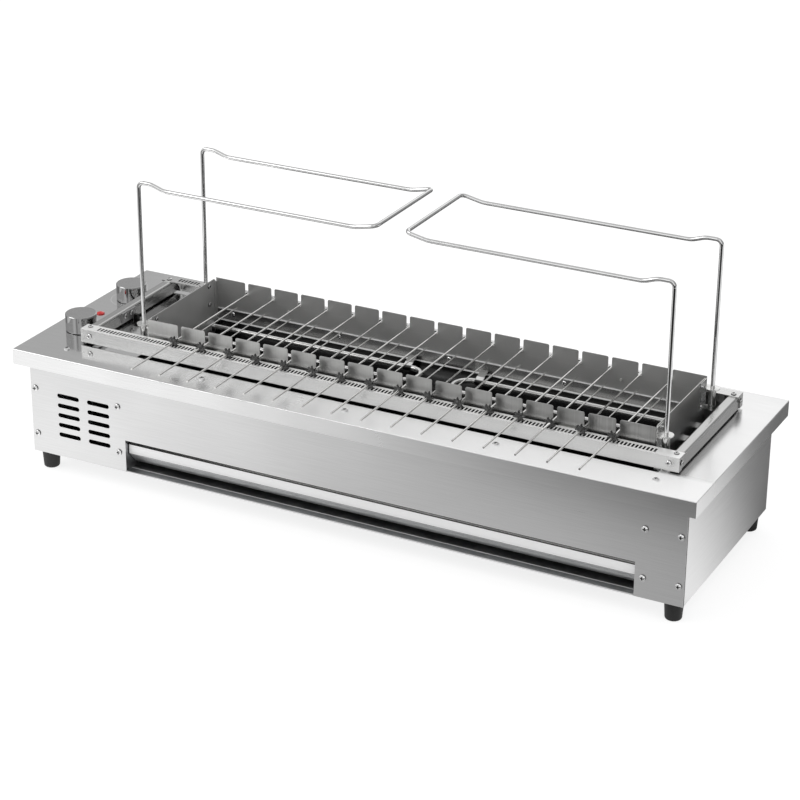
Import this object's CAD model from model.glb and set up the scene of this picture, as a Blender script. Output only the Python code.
import math

import bmesh
import bpy
from mathutils import Matrix, Vector


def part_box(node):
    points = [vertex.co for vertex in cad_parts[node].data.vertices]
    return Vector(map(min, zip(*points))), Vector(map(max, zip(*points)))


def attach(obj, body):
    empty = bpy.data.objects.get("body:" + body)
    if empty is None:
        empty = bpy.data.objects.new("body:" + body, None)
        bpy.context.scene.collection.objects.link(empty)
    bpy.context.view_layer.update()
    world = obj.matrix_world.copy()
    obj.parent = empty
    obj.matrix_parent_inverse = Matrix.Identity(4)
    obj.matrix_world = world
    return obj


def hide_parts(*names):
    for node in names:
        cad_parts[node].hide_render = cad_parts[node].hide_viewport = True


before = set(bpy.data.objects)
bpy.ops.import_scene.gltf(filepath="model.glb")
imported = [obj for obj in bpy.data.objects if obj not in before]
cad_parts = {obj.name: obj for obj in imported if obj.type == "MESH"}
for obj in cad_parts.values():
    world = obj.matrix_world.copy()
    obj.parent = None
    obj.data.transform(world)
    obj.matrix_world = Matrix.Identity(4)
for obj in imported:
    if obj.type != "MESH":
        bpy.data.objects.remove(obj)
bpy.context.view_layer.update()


# Camera
# It stands to the right of the grill's front and looks down on it through a long lens, about three
# metres away. Its place and turn were solved from the cover plate's corners.
camera_place = Vector((1.2345, -2.3826, 1.3450))
camera_azimuth = math.radians(27.04)
camera_elevation = math.radians(24.24)
camera_roll = math.radians(0.45)

flat_reach = math.cos(camera_elevation)
camera_back = Vector((math.sin(camera_azimuth) * flat_reach, -math.cos(camera_azimuth) * flat_reach,
                      math.sin(camera_elevation)))
camera_right = Vector((0, 0, 1)).cross(camera_back).normalized()
camera_up = camera_back.cross(camera_right)
camera_turn = Matrix((camera_right, camera_up, camera_back)).transposed().to_4x4()

camera_data = bpy.data.cameras.new("camera")
camera_data.lens = 109.54
camera_data.sensor_width = 36.0
camera_data.clip_end = 30
camera = bpy.data.objects.new("camera", camera_data)
bpy.context.scene.collection.objects.link(camera)
camera.matrix_world = Matrix.Translation(camera_place) @ camera_turn @ Matrix.Rotation(camera_roll, 4, "Z")
bpy.context.scene.camera = camera
bpy.context.scene.view_settings.view_transform = "Standard"


# Studio
# A white table and white surroundings, as in a product photograph. Where the steel mirrors them they
# are bright straight behind and on both sides of the front, and grey on the right and behind left.
class Link:
    """A socket's value, on which Python's operators add Math nodes."""

    def __init__(self, tree, socket):
        self.tree = tree
        self.socket = socket

    def math(self, operation, *others):
        return self.tree.add("ShaderNodeMath", {"operation": operation}, self, *others)

    def __add__(self, other):
        return self.math("ADD", other)

    def __radd__(self, other):
        return self.math("ADD", other)

    def __sub__(self, other):
        return self.math("SUBTRACT", other)

    def __rsub__(self, other):
        return self.tree.add("ShaderNodeMath", {"operation": "SUBTRACT"}, other, self)

    def __mul__(self, other):
        return self.math("MULTIPLY", other)

    def __rmul__(self, other):
        return self.math("MULTIPLY", other)

    def between(self, low, high):
        """0 at low and below, 1 at high and above, with a soft start and end."""
        return self.tree.add("ShaderNodeMapRange", {"interpolation_type": "SMOOTHSTEP"},
                             self, low, high, 0.0, 1.0)

    def band(self, low, high, soft):
        """1 from low to high, and 0 outside them."""
        return self.between(low - soft, low) * (1.0 - self.between(high, high + soft))

    def distance(self, other, here, there):
        """How far this value and the other one lie from a point of the plane."""
        return ((self - here).math("POWER", 2.0) + (other - there).math("POWER", 2.0)).math("SQRT")


def rgba(colour):
    """A link as it is, and a grey or a colour with its alpha."""
    if isinstance(colour, Link):
        return colour
    if isinstance(colour, float):
        return (colour, colour, colour, 1.0)
    return (*colour, 1.0)


class Tree:
    """A node tree under construction."""

    def __init__(self, owner):
        owner.use_nodes = True
        self.nodes = owner.node_tree.nodes
        self.links = owner.node_tree.links
        self.nodes.clear()

    def node(self, kind, settings=None, sockets=None):
        """Adds a node, sets it up and fills its sockets with values or links."""
        node = self.nodes.new(kind)
        for name, value in (settings or {}).items():
            if name == "stops":
                self.set_stops(node.color_ramp.elements, value)
            else:
                setattr(node, name, value)
        for name, value in (sockets or {}).items():
            self.put(node.inputs[name], value)
        return node

    def set_stops(self, points, stops):
        """Gives a ramp its stops, each a place from 0 to 1 and a grey."""
        while len(points) < len(stops):
            points.new(1.0)
        for point, (place, grey) in zip(points, stops):
            point.position = place
            point.color = rgba(grey)

    def put(self, socket, value):
        if isinstance(value, Link):
            self.links.new(value.socket, socket)
        else:
            socket.default_value = value

    def add(self, kind, settings=None, *values):
        """Adds a node, fills its sockets in order and gives back its first output."""
        node = self.node(kind, settings)
        for socket, value in zip(node.inputs, values):
            self.put(socket, value)
        return Link(self, node.outputs[0])

    def blend(self, share, first, second, how="MIX"):
        """Mixes two colours, each a link, a grey or red, green and blue."""
        node = self.node("ShaderNodeMix", {"data_type": "RGBA", "blend_type": how}, {"Factor": share})
        for name, colour in (("A", first), ("B", second)):
            socket = next(s for s in node.inputs if s.name == name and s.type == "RGBA")
            self.put(socket, rgba(colour))
        return Link(self, next(s for s in node.outputs if s.type == "RGBA"))

    def axes(self, place):
        node = self.node("ShaderNodeSeparateXYZ", None, {"Vector": place})
        return [Link(self, output) for output in node.outputs]

    def coordinates(self, kind):
        return Link(self, self.node("ShaderNodeTexCoord").outputs[kind])

    def ray_kinds(self):
        """The rays that the camera sends, and those that steel and glass send on."""
        rays = self.node("ShaderNodeLightPath").outputs
        seen = Link(self, rays["Is Camera Ray"])
        mirrored = Link(self, rays["Is Glossy Ray"]).math("MAXIMUM", Link(self, rays["Is Transmission Ray"]))
        return seen, mirrored


studio_light = 0.90
ceiling_tone = 0.62
ceiling_rise = (0.55, 0.95)
brightest = 1.30
# Tones that the steel mirrors above the horizon, by the angle to the left of straight behind
wall_tones = [(-180, 0.42), (-172, 0.95), (-140, 1.05), (-124, 0.40), (-100, 0.36), (-60, 0.34),
              (-24, 0.36), (-8, 0.85), (0, 1.12), (22, 1.12), (33, 0.46), (60, 0.50), (90, 0.70),
              (120, 0.75), (143, 0.70), (160, 1.25), (170, 1.10), (180, 0.42)]

world = bpy.data.worlds.new("studio")
bpy.context.scene.world = world
sky = Tree(world)
way_x, way_y, way_z = sky.axes(sky.coordinates("Generated"))
seen, mirrored = sky.ray_kinds()
turn = (0 - way_x).math("ARCTAN2", way_y) * (0.5 / math.pi) + 0.5
wall_stops = [(angle / 360 + 0.5, tone / brightest) for angle, tone in wall_tones]
wall = Link(sky, sky.node("ShaderNodeValToRGB", {"stops": wall_stops}, {"Fac": turn}).outputs["Color"])
ceiling = way_z.between(*ceiling_rise)
surroundings = wall * brightest * (1.0 - ceiling) + ceiling_tone * ceiling
tone = mirrored * surroundings + (1.0 - mirrored) * studio_light
background = sky.node("ShaderNodeBackground", None, {
    "Color": rgba(1.0), "Strength": seen + (1.0 - seen) * tone})
sky.links.new(background.outputs[0], sky.node("ShaderNodeOutputWorld").inputs["Surface"])

table_half = 20.0
table_grey = 0.80
seen_grey = 0.30
seen_glow = 0.80
# Tones that the steel mirrors in the table: in front they fall off to the right and far away, rise
# again close to the grill, and darken on the right in a strip that only the cover's lip shows
front_left_tone = 1.14
front_fall = 1.04
front_fall_x = (-0.53, 0.45)
near_lift = 0.34
near_lift_x = (-0.10, 0.30)
near_lift_y = (-0.42, -0.30)
far_share = 0.22
far_y = (-0.80, -0.52)
lip_shade = 0.42
lip_shade_x = (-0.15, 0.20)
lip_shade_y = (-0.425, -0.405)
# At the right end they fall off towards the back, along a slanted line
end_near_tone = 1.05
end_fall = 0.92
end_slant = 1.7
end_fall_reach = (-0.85, -0.54)
behind_tone = 0.34
behind_end_x = (0.15, 0.40)
behind_y = (-0.16, -0.04)

table_mesh = bpy.data.meshes.new("table")
shape = bmesh.new()
bmesh.ops.create_grid(shape, x_segments=1, y_segments=1, size=table_half)
shape.to_mesh(table_mesh)
shape.free()
table = bpy.data.objects.new("table", table_mesh)
bpy.context.scene.collection.objects.link(table)
table_white = bpy.data.materials.new("table_white")
tree = Tree(table_white)
spot_x, spot_y = tree.axes(tree.coordinates("Object"))[:2]
seen, mirrored = tree.ray_kinds()
front_tone = front_left_tone - front_fall * spot_x.between(*front_fall_x)
front_tone = front_tone + near_lift * spot_x.between(*near_lift_x) * spot_y.between(*near_lift_y)
front_tone = front_tone * (far_share + (1 - far_share) * spot_y.between(*far_y))
lip_strip = spot_x.between(*lip_shade_x) * (1.0 - spot_y.between(*lip_shade_y))
front_tone = front_tone * (1.0 - lip_shade * lip_strip)
end_tone = end_near_tone - end_fall * (spot_y - end_slant * spot_x).between(*end_fall_reach)
back_tone = behind_tone + (end_tone - behind_tone) * spot_x.between(*behind_end_x)
behind = spot_y.between(*behind_y)
table_tone = front_tone * (1.0 - behind) + back_tone * behind
plain = tree.node("ShaderNodeBsdfDiffuse", None, {"Color": tree.blend(seen, table_grey, seen_grey)})
glow = tree.node("ShaderNodeEmission", None, {"Color": rgba(1.0), "Strength": seen * seen_glow})
shown = tree.node("ShaderNodeAddShader")
tree.links.new(plain.outputs[0], shown.inputs[0])
tree.links.new(glow.outputs[0], shown.inputs[1])
image = tree.node("ShaderNodeEmission", None, {"Color": rgba(1.0), "Strength": table_tone})
choice = tree.node("ShaderNodeMixShader", None, {"Fac": mirrored})
tree.links.new(shown.outputs[0], choice.inputs[1])
tree.links.new(image.outputs[0], choice.inputs[2])
tree.links.new(choice.outputs[0], tree.node("ShaderNodeOutputMaterial").inputs["Surface"])
table_mesh.materials.append(table_white)

softbox_place = Vector((-2.6, -1.6, 2.6))
softbox_target = Vector((0, 0, 0.1))
softbox_data = bpy.data.lights.new("left_softbox", "AREA")
softbox_data.shape = "RECTANGLE"
softbox_data.size = 2.4
softbox_data.size_y = 1.8
softbox_data.energy = 34
softbox = bpy.data.objects.new("left_softbox", softbox_data)
bpy.context.scene.collection.objects.link(softbox)
softbox.location = softbox_place
softbox.rotation_euler = (softbox_target - softbox_place).to_track_quat("-Z", "Y").to_euler()


# Cover plate
# One stainless sheet, a lip folded down all round it and a flange round the fire opening. It is rolled
# bright, so it mirrors the knobs, the rails and the skewers. Hands and cloths have hazed its front
# strip, most of all on the right, and a pale ring is marked round the rear knob.
grain_edge = (0.3, 0.7)
grain_height = 0.0001
cloud_edge = (0.35, 0.65)


class Finish:
    """A surface under construction, from a colour and a roughness that vary with grain and marks."""

    def __init__(self, name, colour, roughness, metallic=1.0, **fixed):
        self.material = bpy.data.materials.new(name)
        self.tree = Tree(self.material)
        self.place = self.tree.coordinates("Object")
        self.x, self.y, self.z = self.tree.axes(self.place)
        self.colour = rgba(colour)[:3]
        self.roughness = roughness
        self.metallic = metallic
        self.fixed = fixed
        self.height = None

    def noise(self, scale, detail=2.0, stretch=(1, 1, 1)):
        place = Link(self.tree, self.tree.node("ShaderNodeMapping", None, {
            "Vector": self.place, "Scale": stretch}).outputs[0])
        return Link(self.tree, self.tree.node("ShaderNodeTexNoise", None, {
            "Vector": place, "Scale": scale, "Detail": detail}).outputs[0])

    def tint(self, share, colour, amount=1.0):
        """Lays a second colour over a share of the surface, as strongly as amount says."""
        self.colour = self.tree.blend(share * amount, self.colour, colour)

    def dull(self, share, amount):
        """Makes a share of the surface rougher."""
        self.roughness = self.roughness + share * amount

    def scatter(self, share, amount):
        """Scratches or a film, which scatter part of the light that bare metal would mirror."""
        self.metallic = 1.0 - amount * share

    def brushed(self, stretch, depth, rough, bump):
        """Fine parallel scratches, close across the stretch's large axes and long along its small one."""
        lines = self.noise(scale=1.0, detail=4.0, stretch=stretch)
        dark = tuple(c * (1 - depth) for c in self.colour)
        light = tuple(min(1.0, c * (1 + depth)) for c in self.colour)
        self.colour = self.tree.blend(lines.between(*grain_edge), dark, light)
        self.roughness = (self.roughness - rough / 2) + rough * lines
        self.height = (lines, bump)
        return self

    def clouded(self, scale, depth, rough):
        """Soft patches of handling and polishing."""
        clouds = self.noise(scale).between(*cloud_edge)
        self.colour = self.tree.blend(1.0, self.colour, self.tree.blend(clouds, 1.0 - depth, 1.0), "MULTIPLY")
        self.roughness = self.roughness + rough * (1.0 - clouds)
        return self

    def done(self):
        skin = self.tree.node("ShaderNodeBsdfPrincipled", None, {
            "Base Color": rgba(self.colour), "Metallic": self.metallic, "Roughness": self.roughness,
            **self.fixed})
        if self.height:
            lines, bump = self.height
            relief = self.tree.node("ShaderNodeBump", None, {
                "Strength": bump, "Distance": grain_height, "Height": lines})
            self.tree.links.new(relief.outputs[0], skin.inputs["Normal"])
        out = self.tree.node("ShaderNodeOutputMaterial")
        self.tree.links.new(skin.outputs[0], out.inputs["Surface"])
        return self.material


def merged(node):
    """A node's solid with its triangles joined to faces."""
    shape = bmesh.new()
    shape.from_mesh(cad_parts[node].data)
    bmesh.ops.remove_doubles(shape, verts=shape.verts, dist=0.00001)
    bmesh.ops.dissolve_limit(shape, angle_limit=math.radians(0.5), verts=shape.verts, edges=shape.edges)
    return shape


def sharp_edges(shape, angle=40, where=None):
    return [edge for edge in shape.edges if len(edge.link_faces) == 2
            and edge.calc_face_angle(0) > math.radians(angle)
            and (where is None or all(where(vert.co) for vert in edge.verts))]


def round_off(shape, edges, radius, segments):
    bmesh.ops.bevel(shape, geom=edges, offset=radius, offset_type="OFFSET", segments=segments, profile=0.5,
                    affect="EDGES", clamp_overlap=True, material=-1)


def finished(shape, node, body, materials, smooth=40, pick=None):
    """Puts a reworked solid in its node's place; pick chooses each face's material from the list."""
    for face in shape.faces:
        face.smooth = True
        if pick:
            face.material_index = pick(face)
    mesh = bpy.data.meshes.new(node)
    shape.to_mesh(mesh)
    shape.free()
    mesh.set_sharp_from_angle(angle=math.radians(smooth))
    for material in materials:
        mesh.materials.append(material)
    piece = bpy.data.objects.new("finished_" + node, mesh)
    bpy.context.scene.collection.objects.link(piece)
    flat_faces = piece.modifiers.new("flat_faces", "WEIGHTED_NORMAL")
    flat_faces.mode = "FACE_AREA"
    flat_faces.keep_sharp = True
    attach(piece, body)
    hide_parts(node)


cover_low, cover_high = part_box("cover_plate")
cover_bend = 0.0012
tiny = 0.0001
worn_x = (-0.25, 0.40)
worn_dull = 0.13
strip_y = (-0.090, -0.080)
touched_x = (-0.36, -0.28)
touched_dull = 0.10
hazed_x = (-0.30, 0.25)
haze_depth = (0.0004, 0.0001)
haze_pale = 0.97
haze_share = 0.9
haze_dull = 0.08
dial_ring_r = 0.0273
dial_ring_half = 0.0005
dial_ring_soft = 0.0002
dial_ring_pale = 0.90
dial_ring_dull = 0.1

cover_steel = Finish("cover_steel", colour=0.81, roughness=0.10)
cover_steel.brushed(stretch=(30, 900, 900), depth=0.02, rough=0.03, bump=0.02)
cover_steel.clouded(scale=9.0, depth=0.03, rough=0.03)
cover_steel.dull(cover_steel.x.between(*worn_x), worn_dull)
front_strip = 1.0 - cover_steel.y.between(*strip_y)
top_face = cover_steel.z.between(*(cover_high.z - depth for depth in haze_depth))
hazed = cover_steel.x.between(*hazed_x) * front_strip * top_face
cover_steel.tint(hazed, haze_pale, haze_share)
cover_steel.scatter(hazed, amount=0.80)
cover_steel.dull(hazed, haze_dull)
cover_steel.dull(cover_steel.x.between(*touched_x) * front_strip, touched_dull)
rear_low, rear_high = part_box("knob_rear")
dial = (rear_low + rear_high) / 2
from_dial = cover_steel.x.distance(cover_steel.y, dial.x, dial.y)
ring = from_dial.band(dial_ring_r - dial_ring_half, dial_ring_r + dial_ring_half, dial_ring_soft)
cover_steel.tint(ring, dial_ring_pale)
cover_steel.dull(ring, dial_ring_dull)


def on_outline(point):
    at_end = min(abs(point.x - cover_low.x), abs(point.x - cover_high.x)) < tiny
    at_side = min(abs(point.y - cover_low.y), abs(point.y - cover_high.y)) < tiny
    return at_end or at_side


shape = merged("cover_plate")
outline = [edge for edge in sharp_edges(shape, where=on_outline)
           if all(vert.co.z > cover_high.z - tiny for vert in edge.verts)
           or abs(edge.verts[0].co.z - edge.verts[1].co.z) > tiny]
round_off(shape, outline, cover_bend, segments=3)
finished(shape, "cover_plate", "housing", [cover_steel.done()])


# Housing panels
# Four sheets of brushed stainless steel, with the grain along their length. The front and back panels
# are screwed on flanges that are folded on the end panels, and the front one has ten vents. The cut
# faces of the vents and the seams at the corners are dark.
panel_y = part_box("front_panel")[0].y
cut_depth = (0.0003, 0.0006)
cut_dark = 0.04
seam_depth = (0.0008, 0.0034)
seam_soft = 0.0003
seam_dark = 0.03
long_panel_edge = 0.00015
end_panel_edge = 0.0003


def panel_finish(name, stretch):
    steel = Finish(name, colour=0.75, roughness=0.30)
    steel.brushed(stretch, depth=0.03, rough=0.10, bump=0.10)
    return steel.clouded(scale=6.0, depth=0.03, rough=0.04)


front_steel = panel_finish("front_panel_steel", stretch=(18, 900, 1100))
front_steel.tint(front_steel.y.between(*(panel_y + depth for depth in cut_depth)), cut_dark)
back_steel = panel_finish("back_panel_steel", stretch=(18, 900, 1100))
end_steel = panel_finish("side_panel_steel", stretch=(900, 18, 1100))
end_steel.tint(end_steel.y.band(*(panel_y + depth for depth in seam_depth), seam_soft), seam_dark)
end_panel_steel = end_steel.done()
for node, steel, edge in (("front_panel", front_steel.done(), long_panel_edge),
                          ("back_panel", back_steel.done(), long_panel_edge)):
    shape = merged(node)
    round_off(shape, sharp_edges(shape), edge, segments=1)
    finished(shape, node, "housing", [steel])
for node in ("left_panel", "right_panel"):
    shape = merged(node)
    round_off(shape, sharp_edges(shape), end_panel_edge, segments=2)
    finished(shape, node, "housing", [end_panel_steel])


# Base plate and partitions
# Zinc-plated sheet, folded at its edges. The partitions close the drawer's bay at both sides and carry
# the fire box. The plating shows soft spangles, and the drawer has rubbed two lines on the base.
def coat(nodes, material):
    """Gives nodes that stay as they are their material."""
    for node in nodes:
        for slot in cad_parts[node].material_slots:
            slot.material = material


def zinc_finish(name, colour):
    zinc = Finish(name, colour, roughness=0.40)
    zinc.brushed(stretch=(60, 60, 60), depth=0.06, rough=0.12, bump=0.05)
    return zinc.clouded(scale=40.0, depth=0.14, rough=0.05)


base_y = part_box("base_plate")[0].y
edge_line = (0.0016, 0.0022)
inner_line = (0.0120, 0.0135)
inner_line_soft = 0.0005
line_pale = 0.90

zinc_sheet = zinc_finish("zinc_sheet", colour=(0.50, 0.51, 0.52)).done()
coat(["left_partition", "right_partition", "motor_bracket", "drawer_runners"], zinc_sheet)
base_zinc = zinc_finish("base_zinc", colour=(0.40, 0.41, 0.42))
at_edge = 1.0 - base_zinc.y.between(*(base_y + depth for depth in edge_line))
at_line = base_zinc.y.band(*(base_y + depth for depth in inner_line), inner_line_soft)
rubbed = at_edge.math("MAXIMUM", at_line)
base_zinc.tint(rubbed, line_pale)
base_zinc.scatter(rubbed, amount=0.5)
coat(["base_plate"], base_zinc.done())


# Feet
# Four black rubber feet, moulded a little wider at the top, each with its screw up inside it.
# The rubber is matt, with worn, dusty lower edges.
scuff_z = (0.001, 0.006)
scuff_edge = (0.45, 0.7)

rubber = Finish("foot_rubber", colour=0.012, roughness=0.50, metallic=0.0)
rubber.brushed(stretch=(500, 500, 500), depth=0.25, rough=0.15, bump=0.2)
scuff = (1.0 - rubber.z.between(*scuff_z)) * rubber.noise(scale=180.0).between(*scuff_edge)
rubber.tint(scuff, colour=0.05, amount=0.6)
finished(merged("feet"), "feet", "housing", [rubber.done()], smooth=30)


# Screws
# Bright pan-head screws with a cross recess: ten on the cover, sixteen on the front and back panels,
# and smaller ones in the fire box and the moving frame. The recesses and the steep rims are dark, but
# the cover's screws are wiped clean round the rim.
fine_grain = (400, 400, 400)
bright_screw = Finish("screw_steel", colour=0.82, roughness=0.14)
screw_steel = bright_screw.brushed(fine_grain, depth=0.05, rough=0.10, bump=0.05).done()
recess = Finish("screw_recess", colour=0.03, roughness=0.45)
screw_recess = recess.brushed(fine_grain, depth=0.10, rough=0.10, bump=0.05).done()
outermost_share = 0.48
rim_share = 0.40
recess_share = 0.30
recess_floor_share = 0.1
level_lean = 0.9995
upright_lean = 0.05
rim_lean = 0.60


def islands(shape):
    """The separate solids of a mesh, as lists of faces."""
    left = set(shape.faces)
    found = []
    while left:
        waiting = [left.pop()]
        solid = []
        while waiting:
            face = waiting.pop()
            solid.append(face)
            for near in {f for edge in face.edges for f in edge.link_faces} & left:
                left.discard(near)
                waiting.append(near)
        found.append(solid)
    return found


def dark_faces(solid, with_rim):
    """The dark faces of a screw: its cross recess, flat and near the axis, and its head's steep rim."""
    points = [vert.co for face in solid for vert in face.verts]
    low = Vector([min(p[i] for p in points) for i in range(3)])
    high = Vector([max(p[i] for p in points) for i in range(3)])
    size = high - low
    axis = max(range(3), key=lambda i: min(abs(size[i] - size[j]) for j in range(3) if j != i))
    across = [i for i in range(3) if i != axis]
    head_d = max(size[i] for i in across)
    middle = (low + high) / 2

    def off_axis(point):
        return math.hypot(*(point[i] - middle[i] for i in across))

    outermost = [p[axis] for p in points if off_axis(p) > outermost_share * head_d]
    outward = 1 if sum(outermost) / len(outermost) > middle[axis] else -1
    base = min(outward * level for level in outermost)
    top = max(outward * p[axis] for p in points)
    chosen = set()
    for face in solid:
        point = face.calc_center_median()
        level = outward * point[axis]
        lean = outward * face.normal[axis]
        raised = level > base + recess_floor_share * (top - base)
        in_middle = raised and off_axis(point) < recess_share * head_d
        in_recess = in_middle and (lean > level_lean or abs(lean) < upright_lean)
        on_rim = level > base and off_axis(point) > rim_share * head_d and abs(lean) < rim_lean
        if in_recess or on_rim and with_rim:
            chosen.add(face)
    return chosen


for node, body in (("cover_screws", "housing"), ("panel_screws", "housing"), ("firebox_screws", "housing"),
                   ("frame_screws", "frame")):
    shape = merged(node)
    dark = {face for solid in islands(shape) for face in dark_faces(solid, node != "cover_screws")}
    finished(shape, node, body, [screw_steel, screw_recess], smooth=35, pick=lambda face: int(face in dark))


# Fire box
# Four upright plates of stainless steel round the fire, the long ones cut with a slot for each skewer
# between rounded tabs. Heat has dulled them inside, and the front tabs are streaked towards the right.
front_plate_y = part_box("firebox_front_plate")[0].y
back_plate_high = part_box("firebox_back_plate")[1]
rail_low, rail_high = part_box("front_rack_rail")
plate_edge = 0.00012
front_inside_depth = (0.0004, 0.0006)
back_inside_depth = (0.0006, 0.0004)
greyed_x = (-0.25, 0.20)
streaked_x = (0.10, 0.33)
streak_edge = (0.35, 0.65)
shaded_height = 0.0045
crease_low = 0.0195
crease_half = 0.0004
crease_soft = 0.0008
left_end_x = (-0.10, 0.10)
heated_grey = (0.42, 0.42, 0.415)


def plate_finish(name, stretch, depth):
    steel = Finish(name, colour=(0.56, 0.56, 0.55), roughness=0.32)
    return steel.brushed(stretch, depth, rough=0.12, bump=0.10)


front_plate = plate_finish("front_plate_steel", stretch=(1400, 1400, 40), depth=0.05)
front_plate.tint(front_plate.x.between(*greyed_x), colour=(0.40, 0.40, 0.395), amount=0.5)
streaks = front_plate.noise(scale=1.0, stretch=(420, 420, 6)).between(*streak_edge)
front_plate.tint(streaks * front_plate.x.between(*streaked_x), colour=(0.36, 0.36, 0.35), amount=0.55)
inside = front_plate.y.between(*(front_plate_y + depth for depth in front_inside_depth))
front_plate.tint(inside, colour=(0.20, 0.20, 0.195), amount=0.8)
behind_rail = 1.0 - front_plate.z.between(rail_high.z - shaded_height, rail_high.z)
front_plate.tint(behind_rail * (1.0 - inside), colour=0.05)
front_plate.clouded(scale=25.0, depth=0.06, rough=0.05)

back_plate = plate_finish("back_plate_steel", stretch=(40, 1400, 1400), depth=0.03)
inside = 1.0 - back_plate.y.between(*(back_plate_high.y - depth for depth in back_inside_depth))
crease_z = back_plate_high.z - crease_low
crease = back_plate.z.band(crease_z - crease_half, crease_z + crease_half, crease_soft)
back_plate.tint(inside, heated_grey, amount=0.75)
back_plate.scatter(inside, amount=0.40)
back_plate.tint(crease * inside, colour=(0.50, 0.50, 0.49), amount=0.35)
back_plate.clouded(scale=18.0, depth=0.10, rough=0.05)

end_plate = plate_finish("end_plate_steel", stretch=(1400, 40, 1400), depth=0.03)
left_end = 1.0 - end_plate.x.between(*left_end_x)
end_plate.tint(left_end, heated_grey)
end_plate.scatter(left_end, amount=0.60)
end_plate.clouded(scale=18.0, depth=0.12, rough=0.06)
end_plate_steel = end_plate.done()
for node, material in (("firebox_front_plate", front_plate.done()), ("firebox_back_plate", back_plate.done()),
                       ("firebox_left_end", end_plate_steel), ("firebox_right_end", end_plate_steel)):
    shape = merged(node)
    round_off(shape, sharp_edges(shape), plate_edge, segments=1)
    finished(shape, node, "housing", [material])


# Reflectors
# Two thin sheets that are bolted to the long plates and curl in under the heating tubes. They are
# scraped bright along two lines, wiped grey between these and black where fat has burnt on below.
reflector_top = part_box("back_reflector")[1].z
wiped_low = reflector_top - 0.0140
wiped_high = reflector_top - 0.0060
burnt_high = reflector_top - 0.0165
burnt_soft = 0.0010
scraped_h = 0.0016
scraped_soft = 0.0003
scraped_top_depth = (0.0016, 0.0012)
scraped_pale = 0.97
darker_x = (-0.30, 0.10)
stain_edge = (0.40, 0.70)

reflector = Finish("reflector_steel", colour=(0.34, 0.34, 0.336), roughness=0.20)
reflector.brushed(stretch=(30, 900, 900), depth=0.03, rough=0.06, bump=0.03)
reflector.tint(1.0 - reflector.z.between(wiped_low, wiped_high), colour=(0.62, 0.62, 0.61))
reflector.tint(1.0 - reflector.x.between(*darker_x), colour=(0.20, 0.20, 0.197), amount=0.7)
stain = reflector.noise(scale=9.0, detail=3.0).between(*stain_edge)
reflector.tint(stain, colour=(0.20, 0.195, 0.19), amount=0.3)
reflector.dull(stain, amount=0.08)
reflector.tint(1.0 - reflector.z.between(burnt_high - burnt_soft, burnt_high), colour=0.03)
low_line = reflector.z.band(burnt_high, burnt_high + scraped_h, scraped_soft)
top_line = reflector.z.between(*(reflector_top - depth for depth in scraped_top_depth))
scraped = low_line.math("MAXIMUM", top_line)
reflector.tint(scraped, scraped_pale)
reflector.scatter(scraped, amount=0.85)
reflector_steel = reflector.done()
for node in ("front_reflector", "back_reflector"):
    finished(merged(node), node, "housing", [reflector_steel])
coat(["tube_clips"], reflector_steel)


# Heating tubes
# Four hairpins of stainless tube filled with powder round a coil, with a threaded stud at each end.
# Nuts hold them in the end plates. Heat has greyed them, and scraping has left their tops bright.
tube_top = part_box("heating_tubes")[1].z
bright_depth = (0.0007, 0.0003)
heat_edge = (0.50, 0.75)

tube = Finish("heater_steel", colour=(0.46, 0.46, 0.455), roughness=0.18)
tube.brushed(stretch=(200, 200, 200), depth=0.04, rough=0.10, bump=0.05)
bright_top = tube.z.between(*(tube_top - depth for depth in bright_depth))
tube.tint(bright_top, colour=(0.97, 0.97, 0.96))
tube.scatter(bright_top, amount=0.8)
heat_marks = tube.noise(scale=9.0, detail=3.0).between(*heat_edge)
tube.tint(heat_marks * (1.0 - bright_top), colour=(0.34, 0.33, 0.31), amount=0.4)
finished(merged("heating_tubes"), "heating_tubes", "housing", [tube.done()])
finished(merged("heater_nuts"), "heater_nuts", "housing", [screw_steel])


# Rack sockets
# A short tube with a washer at each corner of the fire box, welded to a small plate that two screws
# hold on the end plate. The welds are slightly dull.
socket_edge = 0.0002

socket_steel = Finish("socket_steel", colour=(0.74, 0.74, 0.73), roughness=0.20)
socket_steel.brushed(stretch=(300, 300, 60), depth=0.05, rough=0.12, bump=0.05)
socket_steel.clouded(scale=90.0, depth=0.10, rough=0.10)
shape = merged("rack_sockets")
round_off(shape, sharp_edges(shape), socket_edge, segments=2)
finished(shape, "rack_sockets", "housing", [socket_steel.done()])


# Moving frame
# Two slotted rails of folded sheet, joined at their ends by two channels. The pinions turn in the slots
# as the frame slides, and the front rail's flange is rubbed pale there. The slots are dark inside.
rear_rail_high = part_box("rear_rack_rail")[1]
flange_skin = 0.0004
flange_soft = 0.0002
flange_t = 0.0013
slot_in = 0.00775
slot_half = 0.0046
slotless_end = 0.005
slot_rows = [rail_low.y + slot_in, rear_rail_high.y - slot_in]


def frame_finish(name, colour, stretch):
    steel = Finish(name, colour, roughness=0.22).brushed(stretch, depth=0.03, rough=0.08, bump=0.06)
    return steel.clouded(scale=12.0, depth=0.04, rough=0.03)


def rail_finish(name, rub):
    """Brushed along the rail, and rubbed pale on its flange."""
    steel = frame_finish(name, colour=(0.66, 0.66, 0.655), stretch=(22, 1000, 1000))
    flange_z = rail_high.z - flange_skin
    rubbed = steel.z.between(flange_z, flange_z + flange_soft) * rub
    steel.tint(rubbed, colour=(0.90, 0.90, 0.895))
    steel.dull(rubbed, amount=0.12)
    steel.scatter(rubbed, amount=0.5)
    return steel.done()


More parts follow.
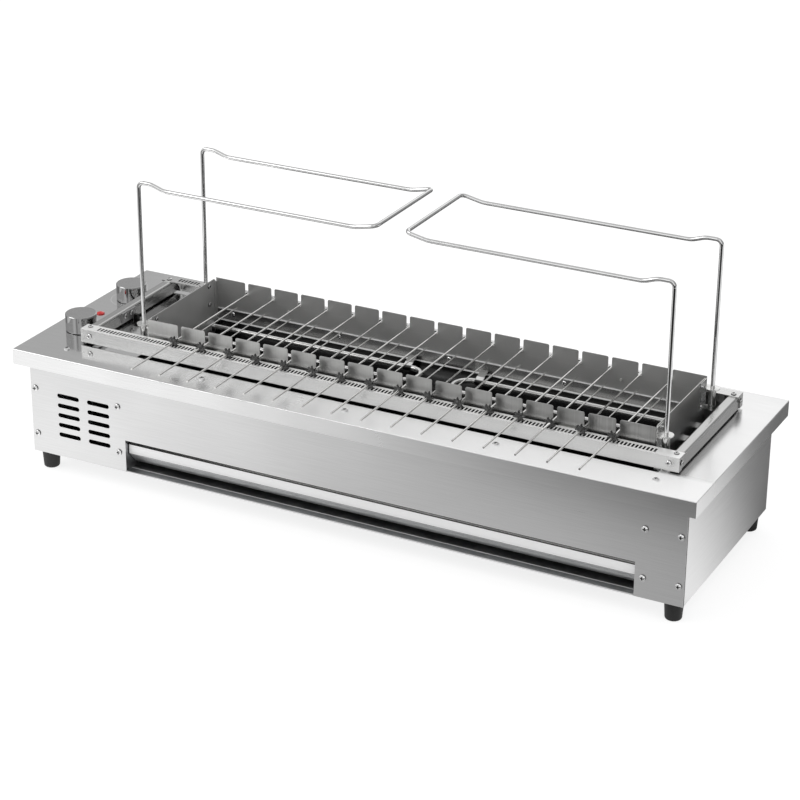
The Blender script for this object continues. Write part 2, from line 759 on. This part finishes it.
def in_slot(face):
    """The upright faces inside the slots lie in the flange's thickness, clear of the rail's outline."""
    middle = face.calc_center_median()
    inner = rail_low.x + slotless_end < middle.x < rail_high.x - slotless_end
    deep = min(abs(middle.y - y) for y in slot_rows) < slot_half
    return int(inner and deep and abs(face.normal.z) < 0.5 and middle.z > rail_high.z - flange_t)


channel = frame_finish("cross_rail_steel", colour=(0.54, 0.54, 0.535), stretch=(1000, 22, 1000))
channel_steel = channel.done()
shade = Finish("slot_shade", colour=0.05, roughness=0.5)
slot_shade = shade.brushed(fine_grain, depth=0.1, rough=0.1, bump=0.05).done()
for node, rub in (("front_rack_rail", 1.0), ("rear_rack_rail", 0.15)):
    finished(merged(node), node, "frame", [rail_finish(node + "_steel", rub), slot_shade], pick=in_slot)
for node in ("frame_left_rail", "frame_right_rail"):
    finished(merged(node), node, "frame", [channel_steel])


# Glide blocks
# Blocks of natural nylon, machined from bar and screwed on the fire box. The rails slide on them, and
# grease has greyed them.
nylon = Finish("glide_nylon", colour=(0.50, 0.50, 0.48), roughness=0.45, metallic=0.0)
nylon.brushed(stretch=(300, 40, 300), depth=0.05, rough=0.12, bump=0.1)
coat(["glide_blocks"], nylon.clouded(scale=60.0, depth=0.15, rough=0.08).done())


# Drip drawer
# A tray folded from one brushed sheet. Its front has an upright band and a slope under it that the
# fingers pull on. The fold on top is dark with a worn line, and burnt fat has blackened the inside.
drawer_low, drawer_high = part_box("drip_drawer")
drawer_edge = 0.0003
band_h = 0.0125
band_soft = 0.0002
band_depth = (0.0002, 0.0004)
line_below = 0.0003
line_above = 0.0001
line_soft = 0.0002
fold_skin = (0.0004, 0.0002)
fold_line = (0.0022, 0.0050)
fold_line_soft = 0.0005
inside_depth = (0.016, 0.022)
drip_edge = (0.55, 0.65)

tray = Finish("drawer_steel", colour=(0.82, 0.82, 0.815), roughness=0.30)
tray.brushed(stretch=(18, 900, 900), depth=0.02, rough=0.08, bump=0.05)
band_low = drawer_high.z - band_h
band = tray.z.between(band_low, band_low + band_soft)
band = band * (1.0 - tray.y.between(*(drawer_low.y + depth for depth in band_depth)))
tray.tint(band, colour=0.97)
tray.tint(tray.z.band(band_low - line_below, band_low + line_above, line_soft), colour=0.25)
tray.scatter(band, amount=0.85)
fold = tray.z.between(*(drawer_high.z - depth for depth in fold_skin))
worn_line = tray.y.band(*(drawer_low.y + depth for depth in fold_line), fold_line_soft)
tray.tint(fold * (1.0 - worn_line), colour=0.05)
tray_inside = tray.y.between(*(drawer_low.y + depth for depth in inside_depth))
tray.tint(tray_inside, colour=(0.05, 0.048, 0.045), amount=0.92)
drips = tray.noise(scale=30.0, detail=3.0).between(*drip_edge) * tray_inside
tray.tint(drips, colour=(0.02, 0.018, 0.015), amount=0.6)
tray.dull(drips, amount=0.2)
shape = merged("drip_drawer")
round_off(shape, sharp_edges(shape), drawer_edge, segments=2)
finished(shape, "drip_drawer", "drawer", [tray.done()])


# Skewers
# Sixteen round rods, each with a pinion that is pressed on it in front of the fire box and a second,
# pointed prong that is welded on behind the front plate. The rods are polished, the pinions blackened.
skewer_count = 16
pinion_y = rail_low.y + slot_in
pinion_half = 0.0016

polished = Finish("skewer_steel", colour=(0.80, 0.795, 0.78), roughness=0.14)
polished.brushed(stretch=(500, 60, 500), depth=0.05, rough=0.10, bump=0.05)
skewer_steel = polished.clouded(scale=120.0, depth=0.08, rough=0.05).done()
blackened = Finish("pinion_steel", colour=0.10, roughness=0.24)
blackened.brushed(stretch=(500, 500, 500), depth=0.3, rough=0.20, bump=0.1)
pinion_steel = blackened.clouded(scale=300.0, depth=0.2, rough=0.1).done()


def on_pinion(face):
    return int(abs(face.calc_center_median().y - pinion_y) < pinion_half)


for number in range(1, skewer_count + 1):
    node = f"skewer_{number:02d}"
    finished(merged(node), node, node, [skewer_steel, pinion_steel], smooth=35, pick=on_pinion)


# Wire racks
# Two loops of thick chromed wire that stand in the sockets and hold food over the fire. The wire was
# bent by hand round a former, and the plating is bright, with fine drawing lines.
chrome = Finish("rack_chrome", colour=0.76, roughness=0.06)
chrome.brushed(stretch=(300, 300, 300), depth=0.03, rough=0.06, bump=0.03)
rack_chrome = chrome.clouded(scale=40.0, depth=0.05, rough=0.04).done()
for node, body in (("rack_left", "left_rack"), ("rack_right", "right_rack")):
    finished(merged(node), node, body, [rack_chrome])


# Knobs
# Two turned steel knobs pressed on their spindles. Their tops carry the lathe's rings, and their sides
# are polished darker, with a bright bevel round the top.
knob_edge = 0.0003
knob_top_skin = (0.0004, 0.0002)
rings_a_metre = 9000.0


def knob_finish(node):
    low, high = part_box(node)
    middle = (low + high) / 2
    steel = Finish(node + "_steel", colour=0.56, roughness=0.06)
    rings = (steel.x.distance(steel.y, middle.x, middle.y) * rings_a_metre).math("SINE") * 0.5 + 0.5
    top = steel.z.between(*(high.z - depth for depth in knob_top_skin))
    steel.tint(1.0 - top, colour=0.36)
    steel.tint(rings * top, colour=0.52, amount=0.25)
    steel.dull(rings * top, amount=0.08)
    steel.dull(top, amount=0.10)
    steel.height = (steel.noise(scale=1.0, detail=3.0, stretch=(60, 60, 1500)), 0.03)
    return steel.clouded(scale=50.0, depth=0.05, rough=0.03).done()


for node, body in (("knob_front", "front_knob"), ("knob_rear", "rear_knob")):
    shape = merged(node)
    round_off(shape, sharp_edges(shape, angle=20), knob_edge, segments=2)
    finished(shape, node, body, [knob_finish(node)], smooth=30)


# Indicator lamp
# A red lens of clear plastic, set in the cover with its barrel and its neon tube below. Its gloss is a
# clear coat over a softly mottled red.
mottle_edge = (0.4, 0.7)

lens = Finish("lamp_red", colour=(0.62, 0.015, 0.015), roughness=0.10, metallic=0.0,
              **{"Coat Weight": 0.6, "Coat Roughness": 0.05})
mottle = lens.noise(scale=300.0).between(*mottle_edge)
lens.tint(mottle, colour=(0.40, 0.005, 0.005), amount=0.5)
finished(merged("indicator_lamp"), "indicator_lamp", "housing", [lens.done()], smooth=30)


# Switches, terminals and inlet
# Moulded parts under the cover and on the back: the thermostat, the rotary switch, the terminal block
# and the mains inlet. The plastic has a fine spark-eroded texture.
inlet_edge = 0.0003

moulding = Finish("dark_plastic", colour=0.03, roughness=0.42, metallic=0.0)
moulding.brushed(stretch=(900, 900, 900), depth=0.15, rough=0.12, bump=0.3)
dark_plastic = moulding.clouded(scale=40.0, depth=0.10, rough=0.05).done()
coat(["thermostat", "rotary_switch"], dark_plastic)
shape = merged("power_inlet")
round_off(shape, sharp_edges(shape), inlet_edge, segments=2)
finished(shape, "power_inlet", "housing", [dark_plastic])
block = Finish("terminal_plastic", colour=(0.70, 0.69, 0.64), roughness=0.50, metallic=0.0)
block.brushed(stretch=(700, 700, 700), depth=0.05, rough=0.1, bump=0.2)
coat(["terminal_block"], block.clouded(scale=40.0, depth=0.08, rough=0.05).done())


# Drive
# A gear motor hangs under a bridge in the left bay. A crank disc on its shaft pushes a link, and the
# link a black arm that reaches up through the cover's slot to the moving frame. The arm's plate, which
# is bolted to the frame, is left bright.
arm_plate_t = 0.0021
arm_plate_soft = 0.0002

motor = Finish("motor_zinc", colour=(0.42, 0.43, 0.44), roughness=0.38)
motor.brushed(stretch=(80, 80, 900), depth=0.06, rough=0.12, bump=0.05)
coat(["gear_motor"], motor.clouded(scale=50.0, depth=0.12, rough=0.06).done())
machined = Finish("crank_steel", colour=0.56, roughness=0.28)
machined.brushed(stretch=(900, 900, 900), depth=0.06, rough=0.12, bump=0.08)
coat(["motor_crank", "drive_link"], machined.clouded(scale=60.0, depth=0.10, rough=0.06).done())
arm = Finish("arm_steel", colour=0.04, roughness=0.38)
arm.brushed(fine_grain, depth=0.15, rough=0.12, bump=0.08)
plate_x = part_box("drive_bracket")[0].x + arm_plate_t
arm.tint(1.0 - arm.x.between(plate_x, plate_x + arm_plate_soft), 0.50)
coat(["drive_bracket"], arm.clouded(scale=60.0, depth=0.15, rough=0.08).done())
